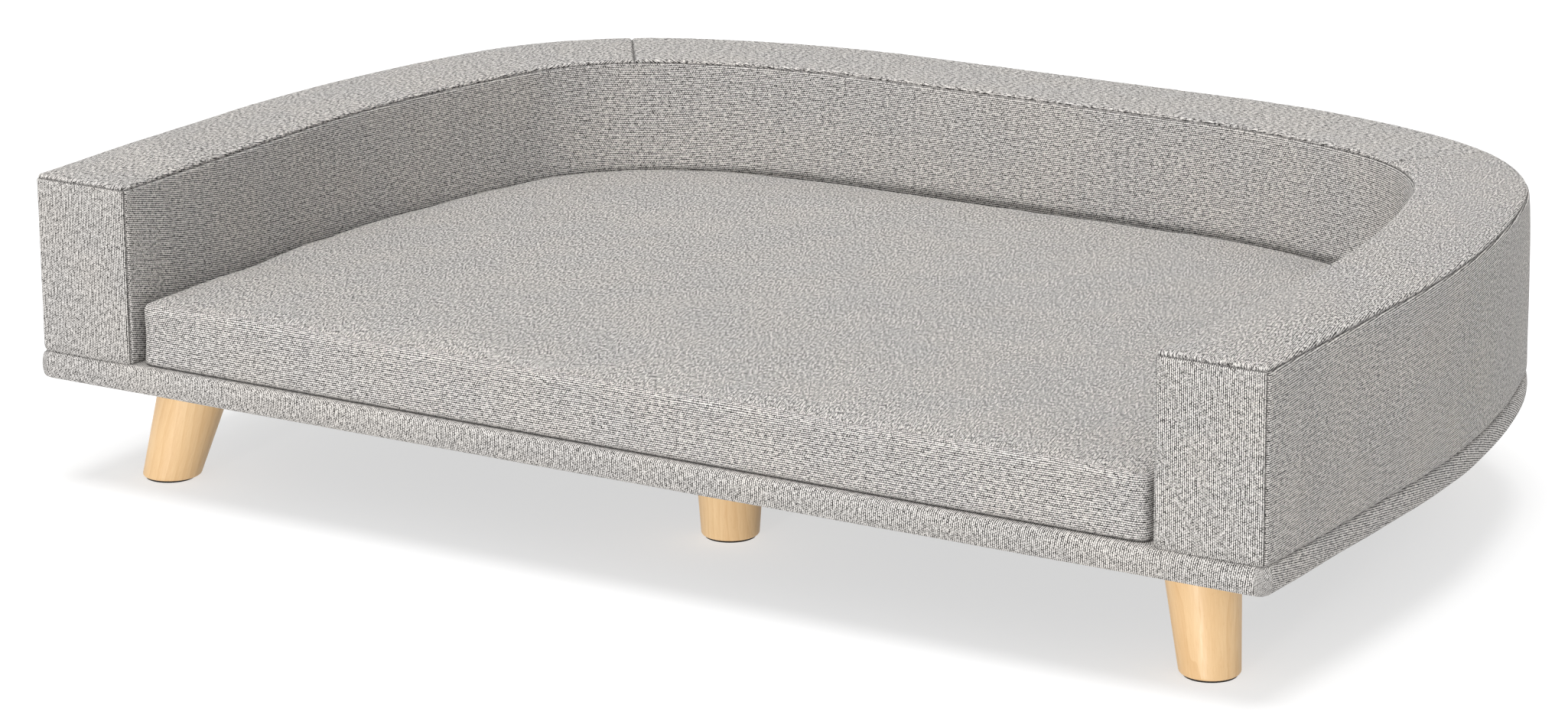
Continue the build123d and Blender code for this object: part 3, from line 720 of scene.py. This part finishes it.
def staples():
    """Each is a box of wire, its crown across the seam: eight corners by sign triples, placed at
    even steps round the hem and turned to point outwards."""
    run = sum(piece_lengths) * 2
    places = steps(0, 14, int(run / staple_pitch))[:-1]
    middle, out = outline(places, staple_inset, front_y + staple_inset, sharp_corner)
    along = np.stack([-out[:, 1], out[:, 0]], axis=1)
    signs = np.array([[a, b, c] for a in (-1, 1) for b in (-1, 1) for c in (-1, 1)]) / 2
    corners = (
        middle[:, None]
        + along[:, None] * signs[None, :, 0:1] * staple_crown
        + out[:, None] * signs[None, :, 1:2] * staple_wire
    )
    points = lifted(corners, base_low.z + signs[:, 2] * staple_wire).reshape(-1, 3)
    box = np.array([[0, 1, 3, 2], [4, 6, 7, 5], [0, 4, 5, 1], [2, 3, 7, 6], [0, 2, 6, 4], [1, 5, 7, 3]])
    faces = (box[None] + 8 * np.arange(len(places))[:, None, None]).reshape(-1, 4)
    mesh = bpy.data.meshes.new("hem_staples")
    mesh.from_pydata(points.tolist(), [], faces.tolist())
    piece = sew([mesh], "hem_staples")
    soften = piece.modifiers.new("rounded_wire", "BEVEL")
    soften.width = 0.0002
    soften.segments = 2
    return piece


hem_staples = staples()
hem_staples.data.materials.append(bpy.data.materials["zinc_fasteners"])
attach(hem_staples, "bed")

# Bolster cover: seven panels of the ribbed cloth sewn round the foam, with plain seams just below
# the upper edges and down the arms' front edges. The top strip is in three lengths, mitred at
# the two rear corners. The cloth is tight, dips into its seams and puckers a little along them.
bolster_low, bolster_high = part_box("bolster_foam")
bolster_floor = bolster_low.z
bolster_top = bolster_high.z + cloth_thickness
bolster_thickness = 0.082
edge_round = 0.004
cap_seam_cosine = 0.5
end_seam_cosine = 0.62
seam_angle = np.arccos(cap_seam_cosine)
corner_heading = np.arcsin(end_seam_cosine / np.sin(seam_angle))
seam_depth = 0.0013
seam_width = 0.0010
seam_shadow = 0.0009
swell_reach = 0.020
pucker_height = 0.00025
wall_fullness = 0.0011
outer_fullness = 0.0022
cap_fullness = 0.0024
back_cap_fullness = 0.0012
cap_hump = 0.0045
contact_tuck = 0.0016
path_columns = 420


def dense(count, ends=0.86):
    """Shares from 0 to 1 that lie closer together near both ends."""
    even = np.linspace(0, 1, count)
    return even - ends * np.sin(2 * pi * even) / (2 * pi)


def panel(name, points, ribs, outward, seed, foot=None, tuck=1.0, fullness=0.0, bias=(0, 1)):
    """A sewn panel from a grid of points: it dips by a bell curve into the seams on its borders,
    swells between them by its fullness, and puckers within 10 mm of them. A foot is a depth by
    which an open lower edge is tucked in. Ribs run along the rows or the columns, or the cloth's
    own places are given. A bias of slope and reach lets ribs along the rows drop from both ends,
    by slope at the end and dying out over the reach."""
    along = mileage_of(points, 1)
    across = mileage_of(points, 0)
    rest_along = along[:, -1:] - along
    rest_across = across[-1:] - across
    seams = [along, rest_along, rest_across]
    seams += [] if foot else [across]
    to_seam = np.minimum.reduce(seams)
    normal = np.cross(np.gradient(points, axis=1), np.gradient(points, axis=0))
    normal /= np.maximum(np.linalg.norm(normal, axis=-1, keepdims=True), 1e-12)
    facing = np.sign(np.sum(normal * outward))
    normal *= facing
    run = np.broadcast_to(along[len(along) // 2], along.shape)
    rise = np.broadcast_to(across[:, across.shape[1] // 2][:, None], across.shape)
    swell = fullness * (1 - np.exp(-to_seam / swell_reach))
    pucker = pucker_height * np.exp(-to_seam / 0.009) * (1 - np.exp(-to_seam / 0.003))
    pucker = pucker * slack(run * 4, rise * 4, seed + 50, 1.0, 0.06)
    ripple = slack(run, rise, seed, 0.00022, 0.11) * (1 - np.exp(-to_seam / 0.012))
    dip = tuck * seam_depth * np.exp(-(to_seam / seam_width) ** 2)
    if foot:
        dip = dip + foot * np.exp(-(across / (1.3 * foot)) ** 2)
    moved = points + normal * (swell + pucker + ripple - dip)[..., None]
    slope, reach = bias
    drop = slope * reach * (1 - np.exp(-np.minimum(run, run[:, -1:] - run) / reach))
    if isinstance(ribs, str):
        flat = np.stack([run, rise + drop] if ribs == "rows" else [rise, run], axis=-1)
    else:
        flat = ribs
    # Painted shade along the seam lines: a narrow band, kept in the attribute named seam, that the cloth's
    # colour darkens.
    shadow = np.exp(-(to_seam / seam_shadow) ** 2)
    if facing < 0:
        moved, flat, shadow = moved[::-1], flat[::-1], shadow[::-1]
    mesh = sheet_mesh(name, moved, flat)
    mesh.attributes.new("seam", "FLOAT", "POINT").data.foreach_set("value", shadow.ravel())
    piece = sew([mesh], name, closed=False)
    thicken(piece, cloth_thickness)
    return piece


def wall_rows(count):
    """An upright panel's rows: their heights, their angles up the rounding and the angles at which
    the end seam lies on them. So many rows go up the flat, and seven round the edge to the seam."""
    shoulder = bolster_top - edge_round
    flat = bolster_floor + (shoulder - bolster_floor) * dense(count)
    lift = np.linspace(0, pi / 2 - seam_angle, 7)
    height = np.concatenate([flat[:-1], shoulder + edge_round * np.sin(lift)])
    lift = np.concatenate([np.zeros(count - 1), lift])
    seam = np.arcsin(np.minimum(1, end_seam_cosine / np.cos(lift)))
    return height[:, None], lift[:, None], seam[:, None]


def across_rows(bend):
    """The insets of a strip's lines across the bolster's thickness, and which way each line of its
    roundings faces: outwards at first, inwards at last."""
    flat = dense(30, 0.6)[1:-1]
    share = np.concatenate([np.zeros(bend), flat, np.ones(bend)])
    facing = np.concatenate([np.ones(bend), 0 * flat, -np.ones(bend)])
    return edge_round + (bolster_thickness - 2 * edge_round) * share, facing


def upright(centre, out, angle, lift, height):
    """A grid of an upright face: its rounding's centre line plus edge_round times a direction,
    which turns by an angle from outwards to forwards and by the lift upwards."""
    level = edge_round * np.cos(lift)
    x = centre[:, 0] + level * np.cos(angle) * out[:, 0]
    y = centre[:, 1] + level * (np.cos(angle) * out[:, 1] - np.sin(angle))
    return lifted(np.stack([x, y], axis=-1), height)


def wall_grid(inner):
    """An upright wall of the bolster and which way it faces. Columns are places along the arms
    and the back, with eight more at each end that go round the arm's front edge."""
    wrap = np.linspace(1, 0, 9)[:-1]
    place = np.concatenate([np.full(8, 12.0), steps(12, 2, path_columns), np.full(8, 2.0)])
    share = np.concatenate([wrap, np.zeros(path_columns), wrap[::-1]])
    height, lift, seam = wall_rows(34)
    inset = bolster_thickness - edge_round if inner else edge_round
    centre, out = outline(place, inset, front_y, edge_round)
    out = -out if inner else out
    return upright(centre, out, share * seam, lift, height), lifted(out, 0.0)


def cap_grid(start, end, columns, front_end):
    """A length of the top strip, and the plan of its cloth laid flat. Rows run from the outer seam
    over the flat to the inner one. At an arm's front the strip goes on over the edge: there a
    square of two angles is drawn into a disc, so that its border stays level with the seam."""
    bend = seam_angle * np.linspace(1, 0, 9)
    inset, facing = across_rows(len(bend))
    tilt = np.concatenate([bend, np.zeros(len(inset) - 2 * len(bend)), bend[::-1]])
    place = np.interp(dense(columns, 0.9), np.linspace(0, 1, columns), steps(start, end, columns))
    fold = np.zeros(columns)
    if front_end:
        place = np.concatenate([place, np.full(8, place[-1])])
        fold = np.concatenate([fold, seam_angle * np.linspace(0, 1, 9)[1:]])
    centre, out = outline(place[None, :], inset[:, None], front_y, edge_round)
    a, c = np.broadcast_arrays(tilt[:, None], fold[None, :])
    lean = np.maximum(a, c)
    wide, narrow = np.maximum(lean, 1e-9), np.minimum(a, c)
    share = narrow / wide
    turned = pi / 2 - (pi / 2 - corner_heading) * share
    heading = np.where(a >= c, corner_heading * share, turned)
    forward = np.stack([0 * lean, np.sin(heading) * (c > 0)], axis=-1)
    away = (np.cos(heading) * facing[:, None])[..., None] * out - forward
    spread = centre + edge_round * np.sin(lean)[..., None] * away
    height = bolster_top - edge_round + edge_round * np.cos(lean)
    plan = centre + edge_round * lean[..., None] * away
    return lifted(spread, height), plan


def end_grid(place):
    """An arm's front face. Columns cross it from the outer seam round the edge, over the flat and
    round the inner edge."""
    height, lift, seam = wall_rows(40)
    bend = np.linspace(0, 1, 6)
    inset, facing = across_rows(len(bend))
    share = np.concatenate([bend, np.ones(len(inset) - 2 * len(bend)), bend[::-1]])
    centre, out = outline(np.full(len(inset), place), inset, front_y, edge_round)
    return upright(centre, out * facing[:, None], seam + (pi / 2 - seam) * share, lift, height)


top_cloth = woven(
    "fine_ribbed_grey_cloth", fine_rib_pitch,
    rib=0.48, bead=0.33, speckle=0.50, mottle=0.90, clump=(0.0032, 0.0012),
)
upwards = np.array([0, 0, 1.0])
forwards = np.array([0, -1.0, 0])
bolster_panels = []
for seed, (side, fullness, bias) in enumerate([
    ("outer", outer_fullness, (-0.06, 0.5)),
    ("inner", wall_fullness, (0.26, 0.15)),
], start=21):
    points, outward = wall_grid(inner=side == "inner")
    wall = panel(
        f"bolster_{side}_panel", points, "rows", outward, seed,
        foot=contact_tuck, fullness=fullness, bias=bias,
    )
    bolster_panels.append((wall, ribbed_cloth, f"bolster_{side}_cover"))
for seed, (side, start, end, columns, heading) in enumerate([
    ("right", mitre_place, 2, 130, radians(101)),
    ("left", 14 - mitre_place, 12, 130, radians(79)),
    ("back", mitre_place, 14 - mitre_place, 150, 0.0),
], start=31):
    points, plan = cap_grid(start, end, columns, front_end=side != "back")
    hump = cap_hump * np.exp(-(((points[..., 1] - front_y - 0.1) / 0.06) ** 2))
    crown = back_cap_fullness if side == "back" else cap_fullness + hump
    ribs = laid(plan, heading)
    strip = panel(f"{side}_cap_panel", points, ribs, upwards, seed, tuck=1.1, fullness=crown)
    bolster_panels.append((strip, top_cloth, f"{side}_cap_cover"))
for seed, (side, place) in enumerate([("right", 2.0), ("left", 12.0)], start=41):
    face = panel(
        f"{side}_end_panel", end_grid(place), "columns", forwards, seed,
        foot=contact_tuck, fullness=wall_fullness,
    )
    bolster_panels.append((face, ribbed_cloth, f"{side}_end_cover"))
for piece, material, *nodes in bolster_panels:
    piece.data.materials.append(material)
    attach(piece, "bed")
    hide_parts(*nodes)


# Bolster foam: cream polyurethane foam wrapped over the frame and glued to it, a little inside
# the cover, 10 mm thick on the sides and 14 mm on top.
foam_inset = 0.0035
foam_skin = 0.0105
foam_crown = 0.0135
foam_columns = 200
foam_section_shares = [
    (0, 0), (0, 0.5), (0, 0.94), (0.08, 1), (0.5, 1), (0.92, 1), (1, 0.94), (1, 0.5), (1, 0),
]
foam_cream = (0.80, 0.74, 0.56, 1)
foam_yellow = (0.66, 0.57, 0.36, 1)


def foam_wrap():
    """A channel upside down, carried along the bolster: its section is a band between an outer
    line and an inner line of as many points, both up, over and down again."""
    outer = np.array(foam_section_shares)
    place = steps(12, 2, foam_columns)
    width = bolster_thickness - 2 * foam_inset
    height = bolster_top - foam_inset - bolster_floor
    lines = [
        (foam_inset + side + outer[:, 0] * (width - 2 * side), bolster_floor + outer[:, 1] * (height - top))
        for side, top in ((0, 0), (foam_skin - foam_inset, foam_crown - foam_inset))
    ]
    over, under = np.array(lines)
    inset, level = np.concatenate([over, under[:, ::-1], over[:, :1]], axis=1)
    flat = outline(place[:, None], inset[None], front_y + foam_inset, 0.001)[0]
    body = lifted(flat, level)
    count = len(outer)
    meshes = [sheet_mesh("foam", body)]
    for k in (0, -1):
        end = np.stack([body[k, :count], body[k, count:-1][::-1]])
        meshes.append(sheet_mesh("foam_end", end))
    return sew(meshes, "bolster_foam_wrap")


def foam():
    """Cut foam: open cells as a fine round pattern, cream, a little yellowed."""
    body = Finish("cream_foam", roughness=0.95, specular=0.1)
    cells = body.noise(body.place(), (1400, 1400, 1400))
    cloud = body.noise(body.place(), (12, 12, 12))
    share = body.total(body.span(cells, 0.35, 0.65, 0.0, 0.6), body.spread(cloud, 0.0, 0.4))
    body.paint(share, foam_cream, foam_yellow)
    body.relief(cells, 0.0004, 0.8)
    return body.material


foam_piece = foam_wrap()
foam_piece.data.materials.append(foam())
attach(foam_piece, "bed")
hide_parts("bolster_foam")

# Cushion: a foam mattress in a zipped cover of the same cloth, which lifts out. Its top panel is
# slightly crowned, its boxing upright with rounded edges, its underside flat on the base.
cushion_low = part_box("cushion_core")[0]
cushion_floor = cushion_low.z - cloth_thickness
cushion_gap = 0.0055
cushion_inset = bolster_thickness + cushion_gap
cushion_setback = 0.004
cushion_side_height = 0.0455
cushion_front = front_y + cushion_setback
cushion_shoulder = cushion_floor + cushion_side_height
cushion_crown = 0.005
cushion_edge = 0.0055
cushion_foot = 0.004
cushion_corner = 0.0065
cushion_heading = radians(102)
cushion_across, cushion_deep = 112, 76
swell_limit = 0.0025
swell_pressure = 0.35
swell_frames = 20
slack_height = 0.0009
slack_length = 0.17
zip_half = 0.132
zip_face_y = 0.2368
zip_margin = 0.012
zip_setback = 0.0007


def cushion_lines(inset):
    """The outline's inset, front and corner for the cushion's own inset."""
    return cushion_inset + inset, cushion_front + inset, cushion_corner - inset


def cushion_form():
    """Rings up the boxing, rounded at the lower and the upper edge and drawn in a little between,
    closed by a flat patch below and a crowned one above. The boxing's coordinates are distances
    along and up it; the two patches' are the plan."""
    arc = np.linspace(0, pi / 2, 5)
    near, far = 1 - np.sin(arc), 1 - np.cos(arc)
    low = cushion_floor + cushion_foot
    rise = cushion_shoulder - cushion_edge - low
    insets = [*(cushion_foot * near), 0.0006, 0.001, 0.001, 0.0006, *(cushion_edge * far)]
    heights = [*(cushion_floor + cushion_foot * far)]
    heights += [low + rise * share for share in (0.2, 0.4, 0.6, 0.8)]
    heights += [*(cushion_shoulder - cushion_edge * near)]
    places = loop_steps(cushion_across, cushion_deep)
    rings = np.array([
        lifted(outline(places, *cushion_lines(inset))[0], height)
        for inset, height in zip(insets, heights)
    ])
    run = mileage_of(rings, 1)[6]
    cloth = np.stack(np.broadcast_arrays(run[None], mileage_of(rings, 0)), axis=-1)
    boxing = sheet_mesh("boxing", rings, cloth)
    u = np.linspace(-1, 1, cushion_across)[None]
    v = np.linspace(-1, 1, cushion_deep)[:, None]
    dome = (1 - np.abs(u) ** 4) * (1 - np.abs(v) ** 4)
    faces = []
    for inset, height, crown in (
        (cushion_foot, cushion_floor, 0.0), (cushion_edge, cushion_shoulder, cushion_crown),
    ):
        flat = patch(*cushion_lines(inset), cushion_across, cushion_deep)
        body = lifted(flat, height + crown * dome)
        faces.append(sheet_mesh("face", body, laid(flat, cushion_heading)))
    faces[1].polygons.foreach_set("material_index", np.ones(len(faces[1].polygons), int))
    form = sew([boxing, *faces], "cushion")
    form.data.materials.append(ribbed_cloth)
    form.data.materials.append(top_cloth)
    return form


def places_of(mesh):
    """The places of a mesh's vertices, one row each."""
    places = np.empty(len(mesh.vertices) * 3)
    mesh.vertices.foreach_get("co", places)
    return places.reshape(-1, 3)


def move_to(mesh, places):
    """Puts a mesh's vertices at new places."""
    mesh.vertices.foreach_set("co", places.ravel())
    mesh.update()


def inflate(form):
    """Cloth under a little air pressure, without gravity, held where it lies on the base. No point
    ends more than the limit from where it began: a move is the limit times tanh(move / limit)."""
    rest = places_of(form.data)
    held = form.vertex_groups.new(name="held")
    held.add(np.flatnonzero(rest[:, 2] < cushion_floor + 0.003).tolist(), 1.0, "REPLACE")
    cloth = form.modifiers.new("cloth", "CLOTH")
    cloth.settings.quality = 6
    cloth.settings.mass = 0.25
    cloth.settings.tension_stiffness = 25
    cloth.settings.compression_stiffness = 12
    cloth.settings.shear_stiffness = 8
    cloth.settings.bending_stiffness = 3
    cloth.settings.use_pressure = True
    cloth.settings.uniform_pressure_force = swell_pressure
    cloth.settings.effector_weights.gravity = 0
    cloth.settings.vertex_group_mass = "held"
    cloth.point_cache.frame_end = swell_frames
    for number in range(1, swell_frames + 1):
        bpy.context.scene.frame_set(number)
    move = places_of(form.evaluated_get(bpy.context.evaluated_depsgraph_get()).data) - rest
    size = np.linalg.norm(move, axis=1, keepdims=True)
    kept = swell_limit * np.tanh(size / swell_limit) / np.maximum(size, 1e-9)
    form.modifiers.remove(cloth)
    form.vertex_groups.remove(held)
    move_to(form.data, rest + move * kept)
    bpy.context.scene.frame_set(1)


def settle(form):
    """Finish after the swelling: soft unevenness on the top, and the boxing kept behind the
    zip's tape."""
    co = places_of(form.data)
    top = np.clip((co[:, 2] - cushion_shoulder + cushion_edge) / cushion_edge, 0, 1)
    co[:, 2] += top * slack(co[:, 0], co[:, 1], 77, slack_height, slack_length)
    behind = (np.abs(co[:, 0]) < zip_half + zip_margin) & (co[:, 1] > zip_face_y - zip_margin / 2)
    near = behind & (top < 1)
    co[near, 1] = np.minimum(co[near, 1], zip_face_y - zip_setback)
    move_to(form.data, co)


cushion = cushion_form()
inflate(cushion)
settle(cushion)
smooth = cushion.modifiers.new("smooth", "SUBSURF")
smooth.levels = 1
smooth.render_levels = 1
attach(cushion, "cushion")
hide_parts("cushion_core", "cushion_top_cover", "cushion_bottom_cover", "cushion_boxing")


# Zip: woven grey tape with moulded teeth and stops, a die-cast slider and its flat pull, at the
# back of the cushion, where the bolster hides it.
tape_dark = (0.20, 0.19, 0.18, 1)
tape_light = (0.36, 0.345, 0.33, 1)
tooth_dark = (0.24, 0.23, 0.22, 1)
tooth_light = (0.32, 0.31, 0.295, 1)
slider_grey = (0.66, 0.65, 0.62, 1)


def tape():
    """Zip tape: a fine herringbone of two thread directions."""
    cloth = Finish("grey_zip_tape", roughness=0.85, specular=0.2)
    across, aside, height = cloth.split(cloth.place())
    rows = cloth.wave(height, 9000)
    threads = cloth.math("SINE", cloth.math("ADD", cloth.math("MULTIPLY", across, 7000), rows))
    cloth.paint(cloth.span(threads, -1, 1), tape_dark, tape_light)
    cloth.relief(threads, 0.0001, 0.6)
    return cloth.material


def moulded():
    """Acetal teeth: satin grey plastic with a faint flow mottling."""
    plastic = Finish("grey_zip_plastic", roughness=0.35, specular=0.5)
    flow = plastic.noise(plastic.place(), (500, 500, 500))
    plastic.paint(flow, tooth_dark, tooth_light)
    plastic.relief(flow, 0.00004, 0.4)
    return plastic.material


dress(["zip_tape"], tape())
dress(["zip_teeth", "zip_stops"], moulded())
dress(["zip_slider", "zip_pull"], zinc("nickel_zip", slider_grey, 0.28))


# Studio: a pale floor that keeps the bed's shadow, a white surround, even light from all round,
# one broad lamp overhead and one low in front that reaches the middle leg.
floor_reach = 9
floor_seen, floor_glow = 0.20, 0.42
surround_glow = 0.57


class Surround(Finish):
    """The world, with the same short ways to add nodes."""

    def __init__(self):
        world = bpy.data.worlds.new("surround")
        bpy.context.scene.world = world
        world.use_nodes = True
        self.tree = world.node_tree
        self.shader = self.tree.nodes["Background"]


def studio():
    """Floor and world. Both look white to the camera and in reflections, and the floor through glass
    too; the light that they give the bed stays at the plain level."""
    ends = [-floor_reach, floor_reach]
    floor_points = np.stack(np.meshgrid(ends, ends, [0.0]), axis=-1)[..., 0, :]
    floor = sew([sheet_mesh("floor", floor_points)], "studio_floor", closed=False)
    paper = Finish("white_paper", roughness=0.9, specular=0.0)
    grain = paper.noise(paper.place(), (3, 3, 3), detail=1)
    paper.paint(grain, (0.42, 0.42, 0.42, 1), (0.45, 0.45, 0.45, 1))
    rays = paper.node("LightPath").outputs
    seen = paper.math("MAXIMUM", rays["Is Camera Ray"], rays["Is Glossy Ray"])
    seen = paper.math("MAXIMUM", seen, rays["Is Transmission Ray"])
    paper.set(emission_color=(1, 1, 1, 1))
    glow = paper.math("MULTIPLY_ADD", seen, floor_seen, floor_glow)
    paper.feed(paper.shader.inputs["Emission Strength"], glow)
    floor.data.materials.append(paper.material)
    floor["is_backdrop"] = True
    sky = Surround()
    sky.set(color=(1, 1, 1, 1))
    rays = sky.node("LightPath").outputs
    seen = sky.math("MAXIMUM", rays["Is Camera Ray"], rays["Is Glossy Ray"])
    sky.feed(sky.shader.inputs["Strength"], sky.span(seen, 0.0, 1.0, surround_glow, 1.0))


def lamp(name, light_from, energy, spread):
    """A broad soft sun: its rays come along the line from light_from to the origin."""
    data = bpy.data.lights.new(name, "SUN")
    data.energy = energy
    data.angle = radians(spread)
    light = bpy.data.objects.new(name, data)
    bpy.context.scene.collection.objects.link(light)
    light.rotation_euler = Vector(light_from).to_track_quat("Z", "Y").to_euler()


studio()
lamp("overhead_lamp", light_from=(0.02, -0.14, 0.99), energy=2.06, spread=30)
lamp("low_front_lamp", light_from=(0.12, -0.985, 0.07), energy=1.68, spread=8)

# Camera: stands four metres away to the right of the front, a little over a metre up, and looks
# down at the bed through a long lens.
camera_place = (2.0163, -3.3185, 1.2015)
camera_yaw, camera_pitch, camera_roll = 0.5603, 0.28, 0.0076
camera_lens, camera_sensor = 127.1, 36
camera_data = bpy.data.cameras.new("camera")
camera_data.lens = camera_lens
camera_data.sensor_width = camera_sensor
camera = bpy.data.objects.new("camera", camera_data)
bpy.context.scene.collection.objects.link(camera)
camera.matrix_world = (
    Matrix.Translation(camera_place)
    @ Matrix.Rotation(camera_yaw, 4, "Z")
    @ Matrix.Rotation(pi / 2 - camera_pitch, 4, "X")
    @ Matrix.Rotation(-camera_roll, 4, "Z")
)
bpy.context.scene.camera = camera
bpy.context.scene.view_settings.view_transform = "Standard"

low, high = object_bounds()
